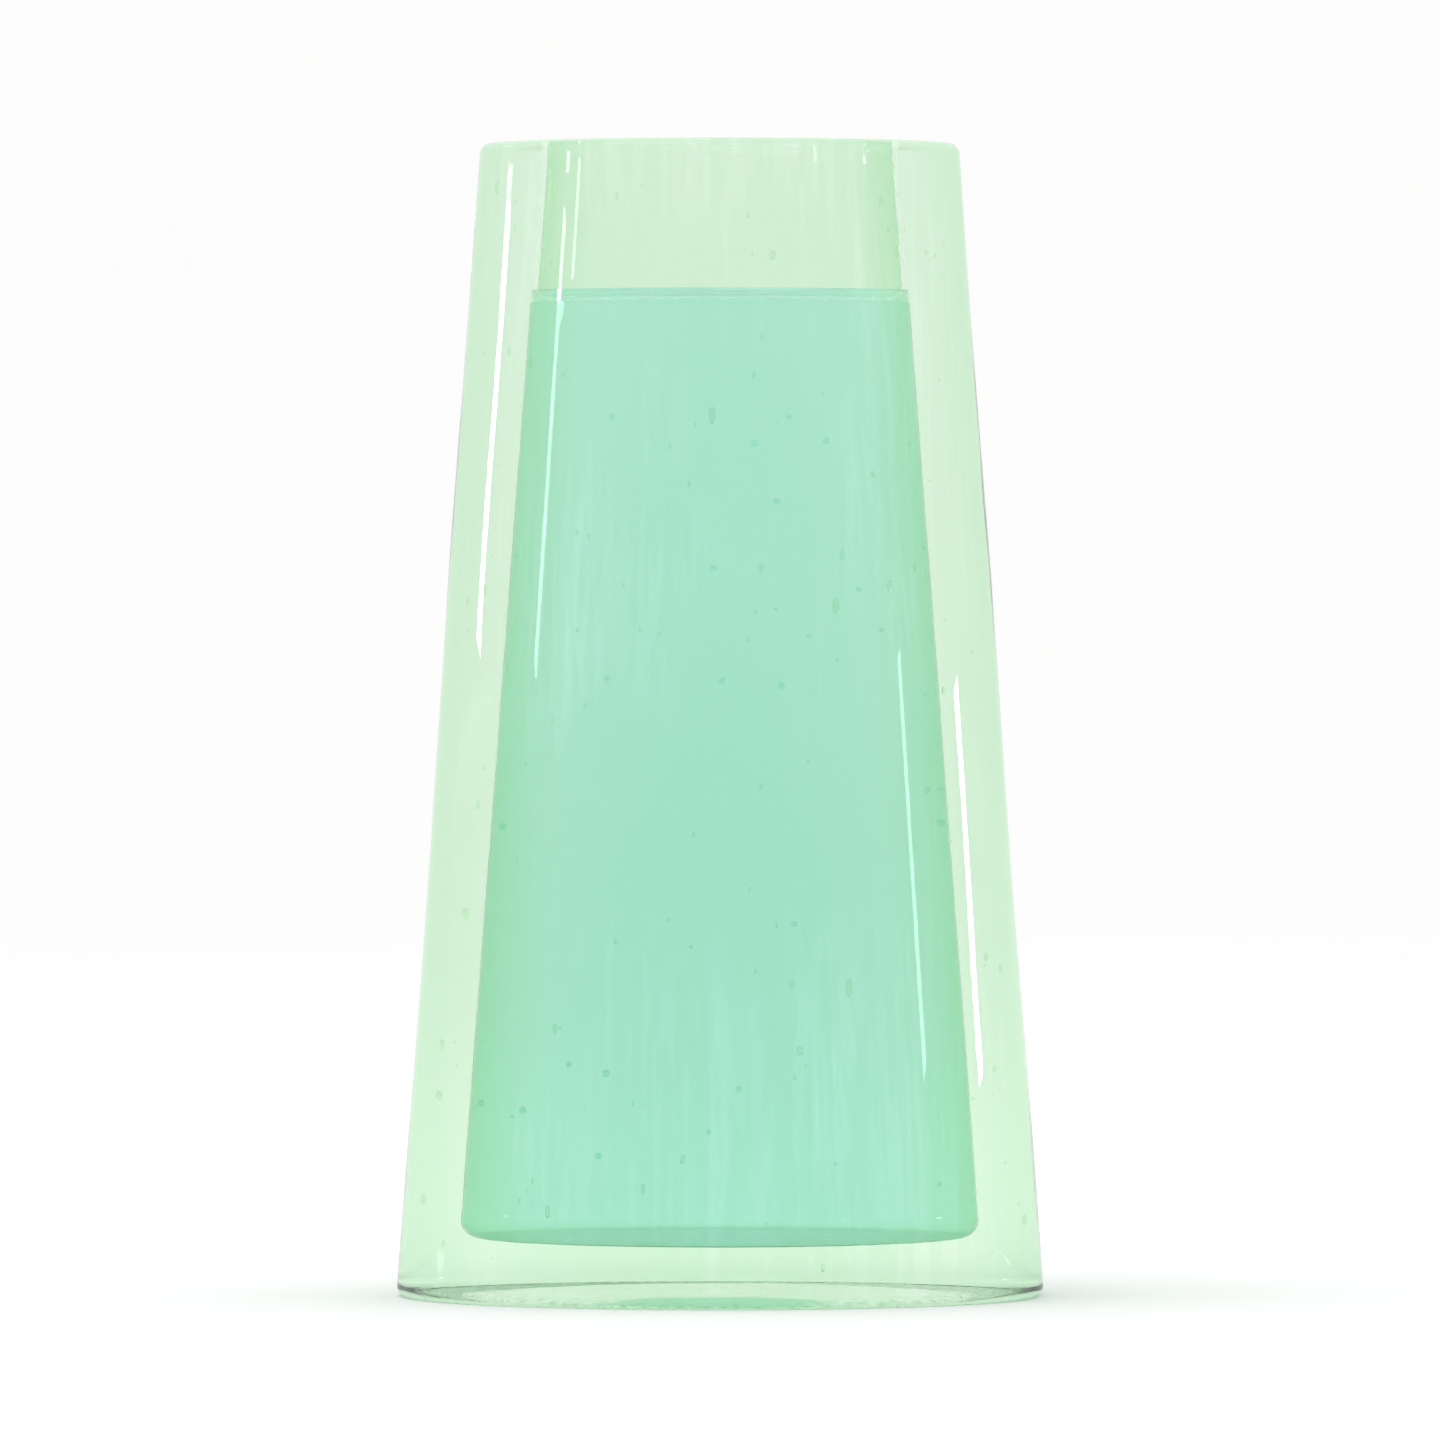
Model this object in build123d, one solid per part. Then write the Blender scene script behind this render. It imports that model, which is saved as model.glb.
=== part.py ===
from build123d import *
import os

# Tapered glass vase, partly filled with water.
#
# The vase is one thick-walled piece of glass, turned about +Z: narrow at the rim, wide at the foot.
# The water is a body of its own that takes the shape of the hollow up to its level.
# The origin is the centre of the ring that the vase stands on, and +Z points out of the mouth.

# Driving dimensions, in millimetres
HEIGHT = 200.0
RIM_DIAMETER = 83.0
FOOT_DIAMETER = 112.4
WALL = 11.7               # across the wall, measured level
FLOOR = 10.2              # from the standing ring up to the hollow's floor
LIP_ROUNDING = 1.8        # both edges of the flat, ground rim
FOOT_ROUNDING = 1.8
FLOOR_CORNER = 3.0        # where the hollow's floor meets its wall
PUNT_DEPTH = 1.6          # hollow under the foot, so that only a ring of glass touches the table
PUNT_DIAMETER = 88.0
WATER_DEPTH = 162.4
MENISCUS_CLIMB = 1.9      # how far the water creeps up the wall
MENISCUS_REACH = 3.0      # how far in from the wall the water's surface is curved


def outer_radius(z):
    """Radius of the straight, tapered outside at height z."""
    return (FOOT_DIAMETER + (RIM_DIAMETER - FOOT_DIAMETER) * z / HEIGHT) / 2


def inner_radius(z):
    """Radius of the hollow at height z: its wall is parallel to the outside."""
    return outer_radius(z) - WALL


def turned(section):
    """Solid of revolution about +Z from the wires of a half section drawn with X outwards and Y up."""
    return revolve(Plane.XZ * make_face(section), Axis.Z)


def punt():
    """Shallow dome of air under the foot."""
    sphere_radius = ((PUNT_DIAMETER / 2) ** 2 + PUNT_DEPTH**2) / (2 * PUNT_DEPTH)
    return Pos(0, 0, PUNT_DEPTH - sphere_radius) * Sphere(sphere_radius)


def vase_body():
    """The glass: tapered wall, flat rim with softened edges, thick floor and hollowed foot."""
    section = FilletPolyline(
        (0, FLOOR),
        (inner_radius(FLOOR), FLOOR),
        (inner_radius(HEIGHT), HEIGHT),
        (outer_radius(HEIGHT), HEIGHT),
        (outer_radius(0), 0),
        (0, 0),
        radius=[0, FLOOR_CORNER, LIP_ROUNDING, LIP_ROUNDING, FOOT_ROUNDING, 0],
        close=True,
    )
    return turned(section) - punt()


def water():
    """The fill: it lies against the glass all round, with a level surface that curves up at the wall."""
    level = FLOOR + WATER_DEPTH
    wall_top = level + MENISCUS_CLIMB
    contact = (inner_radius(wall_top), wall_top)
    flat_edge = (inner_radius(wall_top) - MENISCUS_REACH, level)
    against_glass = FilletPolyline(
        (0, level), (0, FLOOR), (inner_radius(FLOOR), FLOOR), contact, radius=[0, FLOOR_CORNER]
    )
    surface = Line((0, level), flat_edge)
    meniscus = TangentArc(flat_edge, contact, tangent=(1, 0))
    return turned([against_glass, surface, meniscus])


os.makedirs("parts", exist_ok=True)
for node, solid in {"vase_body": vase_body(), "water": water()}.items():
    export_step(solid, f"parts/{node}.step")
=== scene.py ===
"""Tapered vase of pale green recycled glass, standing partly filled with water.

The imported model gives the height, the floor of the hollow and the water's level. Each piece is built
around it in metres, in the same frame: +Z up the vase's axis, with the origin at the centre of the ring
that it stands on.
"""
import bpy
import math
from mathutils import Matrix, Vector


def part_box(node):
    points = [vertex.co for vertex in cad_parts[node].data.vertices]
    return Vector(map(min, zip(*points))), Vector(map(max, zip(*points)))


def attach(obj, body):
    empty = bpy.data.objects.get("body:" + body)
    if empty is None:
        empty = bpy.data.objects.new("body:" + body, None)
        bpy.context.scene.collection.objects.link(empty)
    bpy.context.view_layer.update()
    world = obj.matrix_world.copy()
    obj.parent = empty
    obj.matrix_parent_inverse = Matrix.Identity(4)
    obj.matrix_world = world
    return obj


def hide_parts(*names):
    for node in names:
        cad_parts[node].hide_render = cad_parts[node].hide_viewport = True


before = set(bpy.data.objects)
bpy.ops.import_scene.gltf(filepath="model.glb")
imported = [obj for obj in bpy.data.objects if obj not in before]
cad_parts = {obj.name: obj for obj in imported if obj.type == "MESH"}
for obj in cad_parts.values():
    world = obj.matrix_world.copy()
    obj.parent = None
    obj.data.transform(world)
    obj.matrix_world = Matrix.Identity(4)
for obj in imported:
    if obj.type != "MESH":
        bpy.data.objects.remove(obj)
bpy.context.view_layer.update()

# ------------------------------------------------------------------------------------------------
# Vase body. One gather of recycled soda-lime glass, pale green from the iron in it, pressed into a
# tapered mould, ground flat and left frosted at the rim, and hollowed under the foot. Its side is a
# little uneven, and pale cords and air bubbles were drawn out upwards in it as the glass was worked.
# ------------------------------------------------------------------------------------------------
MM = 0.001
_, vase_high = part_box("vase_body")
water_low, water_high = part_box("water")
HEIGHT = vase_high.z
HOLLOW_FLOOR = water_low.z
FOOT_RADIUS = 56.2 * MM
RIM_RADIUS = 41.5 * MM
WALL = 11.7 * MM
EDGE_ROUNDING = 1.8 * MM
FLOOR_CORNER = 3.0 * MM
PUNT_RADIUS = 44.0 * MM
PUNT_DEPTH = 1.6 * MM
RING_SPACING = 4 * MM
FACES_AROUND = 256
CREASE = math.radians(32)
SWELL_WIDTH = 45 * MM
SWELL_HEIGHT = 100 * MM
SWELL_DEPTH = 0.30 * MM
CORD_WIDTH = 3.5 * MM
CORD_LENGTH = 70 * MM
CORD_DEPTH = 0.12 * MM
CORD_PATCH = 60 * MM
SCUFF_SIZE = 1.5 * MM
SCUFF_HEIGHT = 0.9 * MM
SCUFF_ROUGHNESS = (0.08, 0.5)
GROUND_DEPTH = 0.6 * MM
GROUND_ROUGHNESS = 0.45
GROUND_CLEARNESS = 0.5
# Both clear materials bend light far less than glass and water do, so that the wall shows at its full
# thickness beside the water instead of acting as a lens. A clear coat carries the reflections.
BENDING = 1.03
COAT_BENDING = 1.5
GLASS_SHINE = 0.45
GLASS_ABSORBS = (2.5, 0.7, 2.4)
GLASS_TINT = (0.83, 0.942, 0.838, 1)
# Painted shade: the glass colour seen edge on, darker than GLASS_TINT, stands in for the dark edges that
# stronger bending of light would give.
GLASS_TINT_PAINTED_EDGE_SHADE = (0.54, 0.825, 0.56, 1)
CORD_TINT = (0.91, 0.975, 0.915, 1)


def side_radius(height):
    """Radius of the vase's straight, tapered outside."""
    return FOOT_RADIUS + (RIM_RADIUS - FOOT_RADIUS) * height / HEIGHT


def hollow_radius(height):
    """Radius of the hollow, whose wall is parallel to the outside."""
    return side_radius(height) - WALL


def rounded(corners, steps=8):
    """Half section through the axis. Each corner is out from the axis, up, and the radius of its arc."""
    points = []
    for number, (across, up, rounding) in enumerate(corners):
        corner = Vector((across, up))
        if not rounding:
            points.append(corner)
            continue
        to_last = (Vector(corners[number - 1][:2]) - corner).normalized()
        to_next = (Vector(corners[number + 1][:2]) - corner).normalized()
        half_angle = to_last.angle(to_next) / 2
        centre = corner + (to_last + to_next).normalized() * rounding / math.sin(half_angle)
        first = corner + to_last * rounding / math.tan(half_angle) - centre
        last = corner + to_next * rounding / math.tan(half_angle) - centre
        for step in range(steps + 1):
            points.append(centre + first.slerp(last, step / steps).normalized() * rounding)
    return points


def with_rings(points, spacing):
    """The same half section with its long runs divided, so that the turned mesh has rings along them."""
    ringed = points[:1]
    for start, end in zip(points, points[1:]):
        parts = max(1, round((end - start).length / spacing))
        ringed += [start.lerp(end, part / parts) for part in range(1, parts + 1)]
    return ringed


def put(tree, kind, inputs=None, **settings):
    """Adds a node. inputs maps an input's name or number to another node's socket or to a plain value."""
    node = tree.nodes.new(kind)
    for name, value in settings.items():
        setattr(node, name, value)
    for key, value in (inputs or {}).items():
        if isinstance(value, bpy.types.NodeSocket):
            tree.links.new(value, node.inputs[key])
        else:
            node.inputs[key].default_value = value
    return node


def worked_out(tree, operation, *values):
    """The result of a Math node on sockets or numbers."""
    return put(tree, "ShaderNodeMath", dict(enumerate(values)), operation=operation).outputs[0]


def mapped(tree, value, low, high, to_low, to_high, **settings):
    """The result of a Map Range node."""
    inputs = dict(enumerate((value, low, high, to_low, to_high)))
    return put(tree, "ShaderNodeMapRange", inputs, **settings).outputs[0]


def mixed(tree, share, colour, other_colour):
    """The result of a Mix node on two colours. A share of 1 gives the other colour."""
    return put(tree, "ShaderNodeMix", {0: share, 6: colour, 7: other_colour}, data_type="RGBA").outputs[2]


def noise(tree, place, size, detail, roughness=0.5):
    """Soft random variation between 0 and 1, in patches about that size across."""
    inputs = {"Vector": place, "Scale": 1 / size, "Detail": detail, "Roughness": roughness}
    return put(tree, "ShaderNodeTexNoise", inputs).outputs[0]


def stretched_up(tree, place, times):
    """The place with its height divided, so that a noise read there comes out that many times taller."""
    inputs = {0: place, 1: (1, 1, 1 / times)}
    return put(tree, "ShaderNodeVectorMath", inputs, operation="MULTIPLY").outputs[0]


def turned(tree, outline, around):
    """The outline turned once round the axis, as a grid that is closed at its seam and at the axis."""
    here = put(tree, "GeometryNodeInputPosition").outputs[0]
    outline_size = put(tree, "GeometryNodeAttributeDomainSize", {0: outline}, component="MESH")
    rows = outline_size.outputs["Point Count"]
    columns = worked_out(tree, "ADD", around, 1)
    grid = put(tree, "GeometryNodeMeshGrid", {0: 1, 1: 1, 2: columns, 3: rows}).outputs["Mesh"]
    across_grid, up_grid, _ = put(tree, "ShaderNodeSeparateXYZ", {0: here}).outputs
    turn = mapped(tree, across_grid, -0.5, 0.5, 0, math.tau)
    last_row = worked_out(tree, "SUBTRACT", rows, 1)
    row = worked_out(tree, "ROUND", mapped(tree, up_grid, -0.5, 0.5, 0, last_row))
    on_outline = put(
        tree, "GeometryNodeSampleIndex", {"Geometry": outline, "Value": here, "Index": row},
        data_type="FLOAT_VECTOR",
    ).outputs[0]
    swung = put(
        tree, "ShaderNodeVectorRotate", {"Vector": on_outline, "Angle": turn}, rotation_type="Z_AXIS"
    ).outputs[0]
    body = put(tree, "GeometryNodeSetPosition", {"Geometry": grid, "Position": swung}).outputs[0]
    return put(tree, "GeometryNodeMergeByDistance", {"Geometry": body, "Distance": 0.001 * MM}).outputs[0]


def unevenness(tree, body, side_here, amount):
    """Moves the tapered outside in and out by up to amount, in long, low swells. The rest stays true."""
    here = put(tree, "GeometryNodeInputPosition").outputs[0]
    swells = noise(tree, stretched_up(tree, here, SWELL_HEIGHT / SWELL_WIDTH), SWELL_WIDTH, 1)
    level = put(tree, "ShaderNodeVectorMath", {0: here, 1: (1, 1, 0)}, operation="MULTIPLY").outputs[0]
    out_from_axis = put(tree, "ShaderNodeVectorMath", {0: level}, operation="LENGTH").outputs["Value"]
    inside_side = worked_out(tree, "SUBTRACT", side_here, out_from_axis)
    on_side = mapped(tree, inside_side, 0.05 * MM, 1.2 * MM, 1, 0, interpolation_type="SMOOTHSTEP")
    swell = worked_out(tree, "MULTIPLY", mapped(tree, swells, 0.25, 0.75, -1, 1), amount)
    outwards = put(tree, "ShaderNodeVectorMath", {0: level}, operation="NORMALIZE").outputs[0]
    shift = put(
        tree, "ShaderNodeVectorMath", {0: outwards, "Scale": worked_out(tree, "MULTIPLY", swell, on_side)},
        operation="SCALE",
    ).outputs[0]
    return put(tree, "GeometryNodeSetPosition", {"Geometry": body, "Offset": shift}).outputs[0]


def bubbles(tree, sizes, side_at):
    """Small closed voids behind the tapered side, their faces turned towards the air in them."""

    def random_number(low, high, draw):
        seed = worked_out(tree, "ADD", sizes["Seed"], draw)
        return put(tree, "FunctionNodeRandomValue", {2: low, 3: high, 8: seed}, data_type="FLOAT").outputs[1]

    mostly_small = worked_out(tree, "POWER", random_number(0, 1, 1), 3)
    size = mapped(tree, mostly_small, 0, 1, sizes["Smallest Bubble"], sizes["Largest Bubble"])
    height = random_number(sizes["Lowest Bubble"], sizes["Highest Bubble"], 2)
    clearance = random_number(sizes["Nearest Side"], sizes["Farthest In"], 3)
    behind_side = worked_out(tree, "ADD", clearance, size)
    from_axis = worked_out(tree, "SUBTRACT", side_at(height), behind_side)
    unturned = put(tree, "ShaderNodeCombineXYZ", {"X": from_axis, "Z": height}).outputs[0]
    place = put(
        tree, "ShaderNodeVectorRotate", {"Vector": unturned, "Angle": random_number(0, math.tau, 4)},
        rotation_type="Z_AXIS",
    ).outputs[0]
    tall = worked_out(tree, "MULTIPLY", size, random_number(1, sizes["Bubble Stretch"], 5))
    scale = put(tree, "ShaderNodeCombineXYZ", {"X": size, "Y": size, "Z": tall}).outputs[0]
    points = put(tree, "GeometryNodePoints", {"Count": sizes["Bubbles"], "Position": place}).outputs[0]
    ball = put(tree, "GeometryNodeMeshIcoSphere", {"Radius": 1, "Subdivisions": 2}).outputs["Mesh"]
    void = put(tree, "GeometryNodeFlipFaces", {"Mesh": ball}).outputs[0]
    return put(
        tree, "GeometryNodeInstanceOnPoints", {"Points": points, "Instance": void, "Scale": scale}
    ).outputs[0]


def turned_body_tree():
    """Geometry nodes for a body turned from its half section, with an uneven side and bubbles behind it."""
    tree = bpy.data.node_groups.new("Turned body", "GeometryNodeTree")
    tree.interface.new_socket(name="Body", in_out="OUTPUT", socket_type="NodeSocketGeometry")
    tree.interface.new_socket(name="Outline", in_out="INPUT", socket_type="NodeSocketGeometry")
    for name in ("Around", "Bubbles", "Seed"):
        tree.interface.new_socket(name=name, in_out="INPUT", socket_type="NodeSocketInt")
    for name in (
        "Foot Radius", "Rim Radius", "Height", "Unevenness", "Smallest Bubble", "Largest Bubble",
        "Bubble Stretch", "Nearest Side", "Farthest In", "Lowest Bubble", "Highest Bubble",
    ):
        tree.interface.new_socket(name=name, in_out="INPUT", socket_type="NodeSocketFloat")
    tree.interface.new_socket(name="Material", in_out="INPUT", socket_type="NodeSocketMaterial")
    sizes = put(tree, "NodeGroupInput").outputs

    def side_at(height):
        foot, rim = sizes["Foot Radius"], sizes["Rim Radius"]
        return mapped(tree, height, 0, sizes["Height"], foot, rim, clamp=False)

    here = put(tree, "GeometryNodeInputPosition").outputs[0]
    height_here = put(tree, "ShaderNodeSeparateXYZ", {0: here}).outputs["Z"]
    body = turned(tree, sizes["Outline"], sizes["Around"])
    body = unevenness(tree, body, side_at(height_here), sizes["Unevenness"])
    both = put(tree, "GeometryNodeJoinGeometry")
    tree.links.new(bubbles(tree, sizes, side_at), both.inputs[0])
    tree.links.new(body, both.inputs[0])
    smooth = put(tree, "GeometryNodeSetShadeSmooth", {"Geometry": both.outputs[0]}, domain="FACE").outputs[0]
    edge_angle = put(tree, "GeometryNodeInputMeshEdgeAngle").outputs[0]
    crisp = worked_out(tree, "GREATER_THAN", edge_angle, CREASE)
    creased = put(
        tree, "GeometryNodeSetShadeSmooth", {"Geometry": smooth, "Selection": crisp, "Shade Smooth": False},
        domain="EDGE",
    ).outputs[0]
    real = put(tree, "GeometryNodeRealizeInstances", {"Geometry": creased}).outputs[0]
    painted = put(
        tree, "GeometryNodeSetMaterial", {"Geometry": real, "Material": sizes["Material"]}
    ).outputs[0]
    put(tree, "NodeGroupOutput", {0: painted})
    return tree


turned_body = turned_body_tree()


def turned_piece(name, points, material, **sizes):
    """A plain mesh object: the half section put through the turned-body tree with these sizes."""
    outline = bpy.data.meshes.new(name + "_outline")
    lines = [(number, number + 1) for number in range(len(points) - 1)]
    outline.from_pydata([(point.x, 0, point.y) for point in points], lines, [])
    piece = bpy.data.objects.new(name, outline)
    bpy.context.scene.collection.objects.link(piece)
    nodes = piece.modifiers.new("Turned body", "NODES")
    nodes.node_group = turned_body
    values = {"Material": material, **{key.replace("_", " "): value for key, value in sizes.items()}}
    for item in turned_body.interface.items_tree:
        if item.name in values:
            nodes[item.identifier] = values[item.name]
    evaluated = bpy.context.evaluated_depsgraph_get()
    piece_mesh = bpy.data.meshes.new_from_object(piece.evaluated_get(evaluated))
    piece_mesh.materials.pop(index=0)  # the empty slot that a grid made by nodes starts with
    piece.modifiers.remove(nodes)
    piece.data = piece_mesh
    piece_mesh.name = name
    return piece


def clear_material(name, absorbed_per_metre):
    """A smooth clear material that absorbs red, green and blue by those amounts for each metre of depth."""
    material = bpy.data.materials.new(name)
    material.use_nodes = True
    tree = material.node_tree
    shader = tree.nodes["Principled BSDF"]
    shader.inputs["Roughness"].default_value = 0.0
    shader.inputs["IOR"].default_value = BENDING
    shader.inputs["Transmission Weight"].default_value = 1.0
    shader.inputs["Coat IOR"].default_value = COAT_BENDING
    shader.inputs["Coat Roughness"].default_value = 0.0
    density = max(absorbed_per_metre) * 1.02  # a little over the highest, so that no colour is quite black
    depth_colour = [1 - each / density for each in absorbed_per_metre]
    depth = put(tree, "ShaderNodeVolumeAbsorption", {"Color": (*depth_colour, 1), "Density": density})
    tree.links.new(depth.outputs[0], tree.nodes["Material Output"].inputs["Volume"])
    return material, tree, shader


def recycled_glass():
    """Pale green glass, painted darker seen edge on as shade, with paler cords, a ground rim and a scuffed
    foot.
    """
    material, tree, shader = clear_material("Pale green recycled glass", GLASS_ABSORBS)
    shader.inputs["Coat Weight"].default_value = GLASS_SHINE
    place = put(tree, "ShaderNodeTexCoord").outputs["Object"]
    height = put(tree, "ShaderNodeSeparateXYZ", {0: place}).outputs["Z"]
    cords = noise(tree, stretched_up(tree, place, CORD_LENGTH / CORD_WIDTH), CORD_WIDTH, 2, 0.6)
    patches = noise(tree, place, CORD_PATCH, 1)
    cord_strength = worked_out(
        tree, "MULTIPLY",
        mapped(tree, cords, 0.52, 0.64, 0, 1, interpolation_type="SMOOTHSTEP"),
        mapped(tree, patches, 0.42, 0.56, 0, 1, interpolation_type="SMOOTHSTEP"),
    )
    corded = mixed(tree, cord_strength, GLASS_TINT, CORD_TINT)
    # Painted shade: the colour is mixed towards the darker tint where the surface is seen edge on, in place
    # of refraction's dark edges.
    edge_on = put(tree, "ShaderNodeLayerWeight", {"Blend": 0.5}).outputs["Facing"]
    with_painted_edge_shade = mixed(tree, mapped(tree, edge_on, 0.3, 0.9, 0, 1), corded, GLASS_TINT_PAINTED_EDGE_SHADE)
    tree.links.new(with_painted_edge_shade, shader.inputs["Base Color"])
    ripple = put(
        tree, "ShaderNodeBump", {"Height": cords, "Distance": CORD_DEPTH, "Strength": 0.22}
    ).outputs[0]
    tree.links.new(ripple, shader.inputs["Normal"])
    scuffs = mapped(tree, noise(tree, place, SCUFF_SIZE, 4), 0.35, 0.7, *SCUFF_ROUGHNESS)
    near_table = mapped(tree, height, 0.1 * MM, SCUFF_HEIGHT, 1, 0)
    scuffed = worked_out(tree, "MULTIPLY", near_table, scuffs)
    ground = mapped(tree, height, HEIGHT - GROUND_DEPTH, HEIGHT - 0.1 * MM, 0, 1)
    frosted = worked_out(tree, "MULTIPLY", ground, GROUND_ROUGHNESS)
    tree.links.new(worked_out(tree, "MAXIMUM", scuffed, frosted), shader.inputs["Roughness"])
    tree.links.new(mapped(tree, ground, 0, 1, 1, GROUND_CLEARNESS), shader.inputs["Transmission Weight"])
    return material


def punt(steps=10):
    """The hollow under the foot, from the axis out to the ring that the vase stands on."""
    shares = [step / steps for step in range(steps)]
    return [Vector((PUNT_RADIUS * share, PUNT_DEPTH * (1 - share**2))) for share in shares]


glass_outline = punt() + rounded([
    (PUNT_RADIUS, 0, 0),
    (FOOT_RADIUS, 0, EDGE_ROUNDING),
    (RIM_RADIUS, HEIGHT, EDGE_ROUNDING),
    (hollow_radius(HEIGHT), HEIGHT, EDGE_ROUNDING),
    (hollow_radius(HOLLOW_FLOOR), HOLLOW_FLOOR, FLOOR_CORNER),
    (0, HOLLOW_FLOOR, 0),
])
glass_body = turned_piece(
    "glass_body", with_rings(glass_outline, RING_SPACING), recycled_glass(),
    Around=FACES_AROUND, Foot_Radius=FOOT_RADIUS, Rim_Radius=RIM_RADIUS, Height=HEIGHT,
    Unevenness=SWELL_DEPTH,
    Bubbles=150, Seed=11, Smallest_Bubble=0.12 * MM, Largest_Bubble=0.65 * MM, Bubble_Stretch=3.2,
    Nearest_Side=1.0 * MM, Farthest_In=WALL - 3.0 * MM,
    Lowest_Bubble=5 * MM, Highest_Bubble=HEIGHT - 6 * MM,
)
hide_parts("vase_body")
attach(glass_body, "root")

# ------------------------------------------------------------------------------------------------
# Water. Tap water, about 0.73 litre, that fills the hollow to 27 mm under the rim. It wets the
# glass all round, creeps up it in a thin meniscus, and small air bubbles cling to the wall in it.
# ------------------------------------------------------------------------------------------------
MENISCUS_CLIMB = 1.9 * MM
MENISCUS_REACH = 3.0 * MM
RIPPLE_SIZE = 14 * MM
RIPPLE_DEPTH = 0.4 * MM
SURFACE_SKIN = 0.3 * MM  # the ripples and the shine of the surface reach this far below the level
BUBBLE_MARGIN = 4 * MM
INTO_GLASS = 0.12 * MM  # the water reaches this far into the glass, so that no air shows between them
WATER_ABSORBS = (3.6, 0.72, 0.66)
SURFACE_TINT = (0.78, 0.955, 0.955, 1)
# Painted shade: the water's colour at the floor, darker than at the surface, offsets the extra light that
# makes the bottom of the water look paler.
FLOOR_TINT_PAINTED_SHADE = (0.69, 0.895, 0.865, 1)
WATER_LEVEL = water_high.z - MENISCUS_CLIMB


def meniscus(contact, steps=10):
    """The curve of the surface from the wall down to the level, as an arc that ends level."""
    radius = (MENISCUS_REACH**2 + MENISCUS_CLIMB**2) / (2 * MENISCUS_CLIMB)
    centre = Vector((contact.x - MENISCUS_REACH, WATER_LEVEL + radius))
    at_wall = contact - centre
    at_level = Vector((0, -radius))
    turns = [at_wall.slerp(at_level, step / steps) for step in range(steps + 1)]
    return [centre + turn.normalized() * radius for turn in turns]


def tap_water():
    """Clear blue-green water with a barely rippled surface, its colour painted darker towards the floor as
    shade.
    """
    material, tree, shader = clear_material("Blue-green water", WATER_ABSORBS)
    place = put(tree, "ShaderNodeTexCoord").outputs["Object"]
    height = put(tree, "ShaderNodeSeparateXYZ", {0: place}).outputs["Z"]
    depth = mapped(tree, height, HOLLOW_FLOOR, WATER_LEVEL, 1, 0)
    # Painted shade: the colour darkens from the surface tint to the floor tint going down through the water.
    tree.links.new(mixed(tree, depth, SURFACE_TINT, FLOOR_TINT_PAINTED_SHADE), shader.inputs["Base Color"])
    ripples = noise(tree, place, RIPPLE_SIZE, 1)
    near_surface = mapped(tree, height, WATER_LEVEL - SURFACE_SKIN, WATER_LEVEL, 0, 0.25)
    ripple = put(
        tree, "ShaderNodeBump", {"Height": ripples, "Distance": RIPPLE_DEPTH, "Strength": near_surface}
    ).outputs[0]
    tree.links.new(ripple, shader.inputs["Normal"])
    shine = mapped(tree, height, WATER_LEVEL - SURFACE_SKIN, WATER_LEVEL - 0.1 * MM, 0, 1)
    tree.links.new(shine, shader.inputs["Coat Weight"])
    return material


contact = Vector((hollow_radius(water_high.z) + INTO_GLASS, water_high.z))
water_outline = rounded([
    (0, HOLLOW_FLOOR - INTO_GLASS, 0),
    (hollow_radius(HOLLOW_FLOOR) + INTO_GLASS, HOLLOW_FLOOR - INTO_GLASS, FLOOR_CORNER),
    (contact.x, contact.y, 0),
])[:-1] + meniscus(contact) + [Vector((0, WATER_LEVEL))]
water_fill = turned_piece(
    "water_fill", with_rings(water_outline, RING_SPACING), tap_water(),
    Around=FACES_AROUND, Foot_Radius=hollow_radius(0), Rim_Radius=hollow_radius(HEIGHT), Height=HEIGHT,
    Unevenness=0.0,
    Bubbles=90, Seed=5, Smallest_Bubble=0.12 * MM, Largest_Bubble=0.7 * MM, Bubble_Stretch=1.0,
    Nearest_Side=0.0, Farthest_In=0.0,
    Lowest_Bubble=HOLLOW_FLOOR + BUBBLE_MARGIN, Highest_Bubble=WATER_LEVEL - BUBBLE_MARGIN,
)
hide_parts("water")
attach(water_fill, "root")

# ------------------------------------------------------------------------------------------------
# Studio floor. A wide, round sweep of pale matt paper: flat under the vase and rising gently
# towards its far edge on every side, so that no horizon shows. It isn't part of the object.
# ------------------------------------------------------------------------------------------------
FLAT_RADIUS = 3.2
SWEEP_RADIUS = 5.0
SWEEP_RISE = math.radians(45)
SWEEP_STEPS = 16
MOTTLE_SIZE = 1 / 3
PAPER = (0.87, 0.875, 0.87, 1)
PAPER_MOTTLE = (0.89, 0.89, 0.885, 1)


def matt_paper():
    """Pale paper with a faint mottle."""
    material = bpy.data.materials.new("Pale matt paper")
    material.use_nodes = True
    tree = material.node_tree
    shader = tree.nodes["Principled BSDF"]
    place = put(tree, "ShaderNodeTexCoord").outputs["Object"]
    mottle = noise(tree, place, MOTTLE_SIZE, 3)
    tree.links.new(mixed(tree, mottle, PAPER, PAPER_MOTTLE), shader.inputs["Base Color"])
    shader.inputs["Roughness"].default_value = 0.9
    shader.inputs["Specular IOR Level"].default_value = 0.1
    return material


sweep = [Vector((0, 0)), Vector((FLAT_RADIUS / 2, 0)), Vector((FLAT_RADIUS, 0))]
for step in range(1, SWEEP_STEPS + 1):
    slope = SWEEP_RISE * step / SWEEP_STEPS
    rise = SWEEP_RADIUS * (1 - math.cos(slope))
    sweep.append(Vector((FLAT_RADIUS + SWEEP_RADIUS * math.sin(slope), rise)))
floor = turned_piece(
    "studio_floor", sweep, matt_paper(),
    Around=128, Foot_Radius=0.0, Rim_Radius=0.0, Height=1.0, Unevenness=0.0, Bubbles=0,
)

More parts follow.
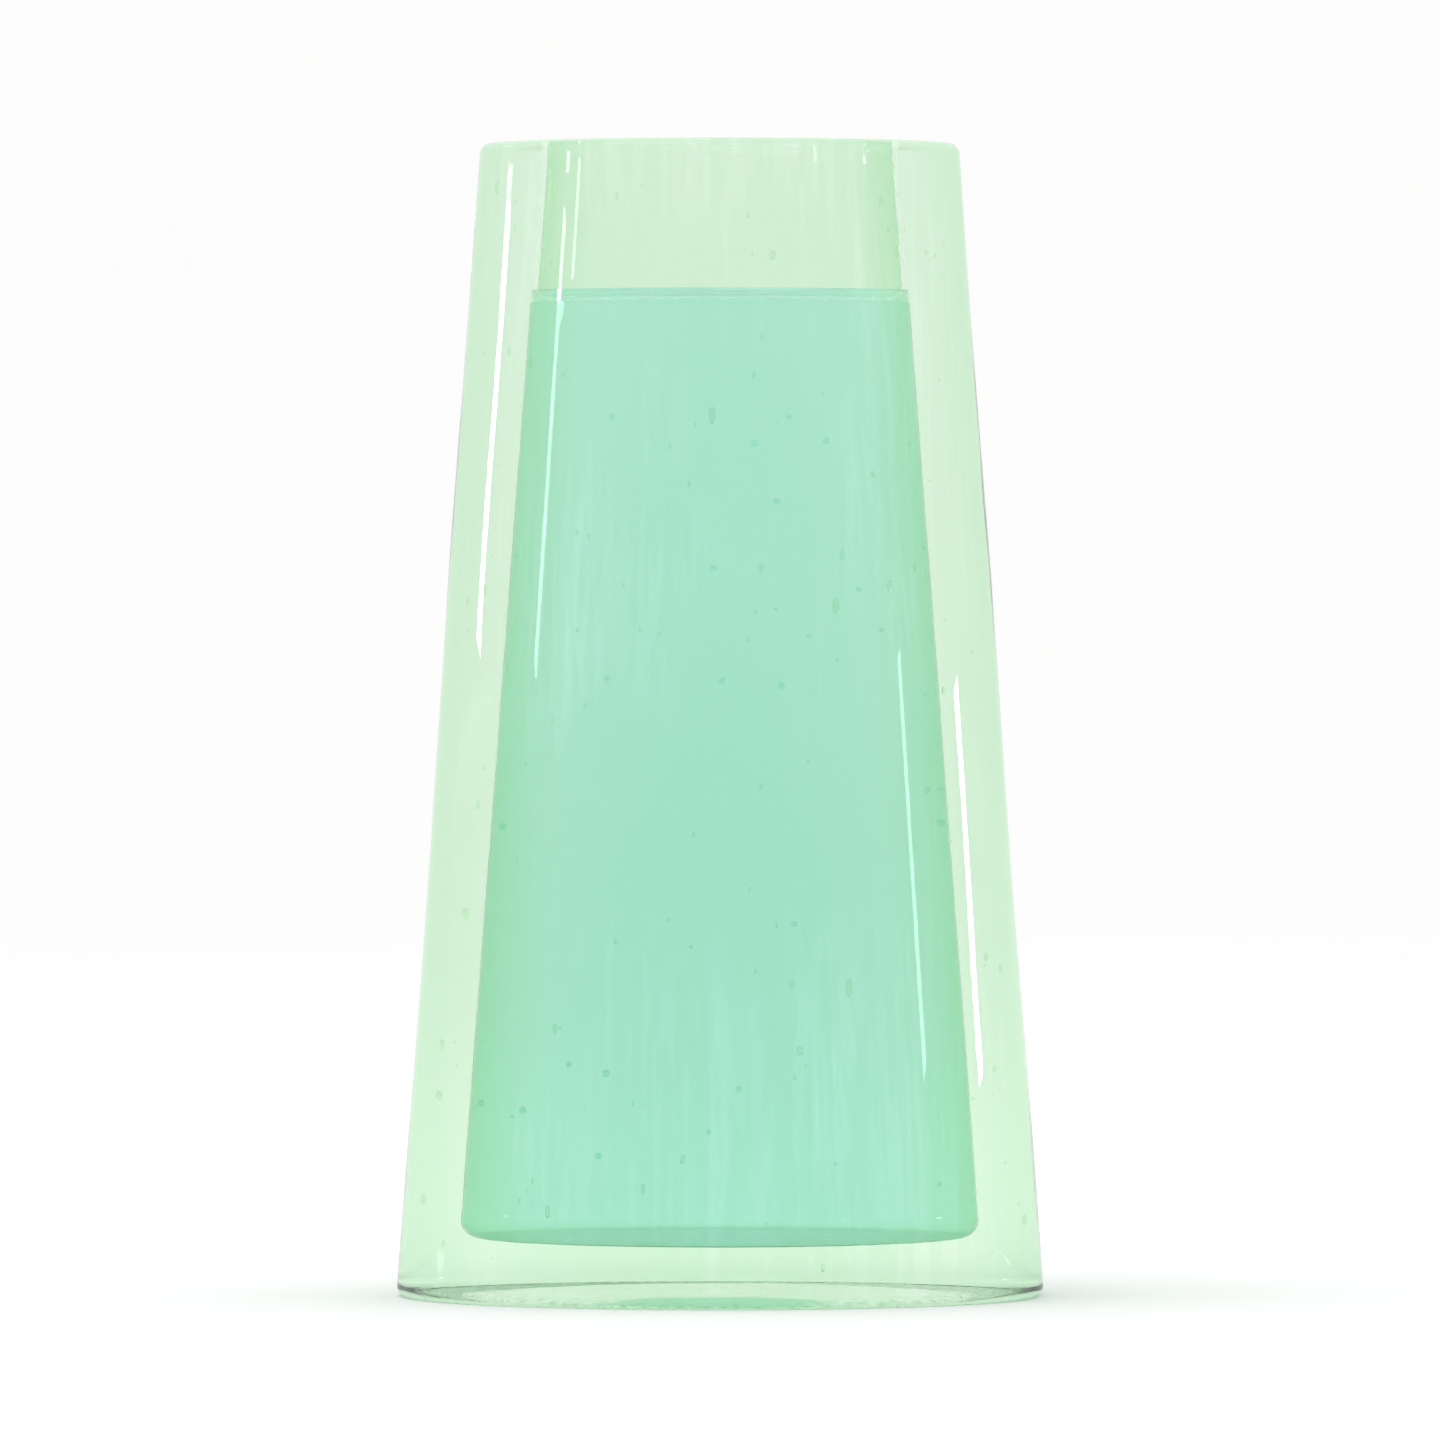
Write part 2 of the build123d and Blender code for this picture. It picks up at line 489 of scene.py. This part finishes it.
# ------------------------------------------------------------------------------------------------
# Light. A pale sky all round and a broad soft panel above. Two short strips behind the left and right
# give the highlights on the wall's upper left and lower right, and two narrow windows higher up are
# reflected in the water's surface and the rim when those are seen from above.
# ------------------------------------------------------------------------------------------------
SKY_STRENGTH = 1.12
MIDDLE = Vector((0, 0, HEIGHT / 2))


def soft_panel(name, place, width, height, watts):
    """A rectangular soft light at that place, facing the vase's middle."""
    lamp = bpy.data.lights.new(name, "AREA")
    lamp.shape = "RECTANGLE"
    lamp.size = width
    lamp.size_y = height
    lamp.energy = watts
    panel = bpy.data.objects.new(name, lamp)
    panel.location = place
    panel.rotation_euler = (MIDDLE - Vector(place)).to_track_quat("-Z", "Y").to_euler()
    panel.visible_camera = False
    bpy.context.scene.collection.objects.link(panel)


soft_panel("left_strip", (-0.95, 0.50, 0.235), 0.07, 0.11, 1.0)
soft_panel("right_strip", (1.00, 0.42, 0.14), 0.06, 0.10, 0.8)
soft_panel("back_window", (-0.97, 0.95, 0.81), 0.035, 0.26, 0.17)
soft_panel("front_window", (1.03, -1.01, 0.57), 0.035, 0.22, 0.15)
soft_panel("high_panel", (-0.5, -0.5, 1.6), 1.2, 0.8, 4.0)

sky = bpy.data.worlds.new("Pale sky")
sky.use_nodes = True
background = sky.node_tree.nodes["Background"]
background.inputs["Color"].default_value = (1.0, 1.0, 1.0, 1)
background.inputs["Strength"].default_value = SKY_STRENGTH
bpy.context.scene.world = sky
bpy.context.scene.view_settings.view_transform = "Standard"

# ------------------------------------------------------------------------------------------------
# Camera. A long way off and almost level with the vase's middle, looking down by half a degree, so
# that the rim, the water line and the foot stay nearly straight.
# ------------------------------------------------------------------------------------------------
LENS = 400
SENSOR = 36
FRAME_SHARE = 0.80
DOWNWARDS = math.radians(0.5)

camera = bpy.data.objects.new("camera", bpy.data.cameras.new("camera"))
camera.data.lens = LENS
camera.data.sensor_width = SENSOR
distance = HEIGHT / FRAME_SHARE * LENS / SENSOR
camera.location = MIDDLE + Vector((0, -math.cos(DOWNWARDS), math.sin(DOWNWARDS))) * distance
camera.rotation_euler = (math.pi / 2 - DOWNWARDS, 0, 0)
bpy.context.scene.collection.objects.link(camera)
bpy.context.scene.camera = camera
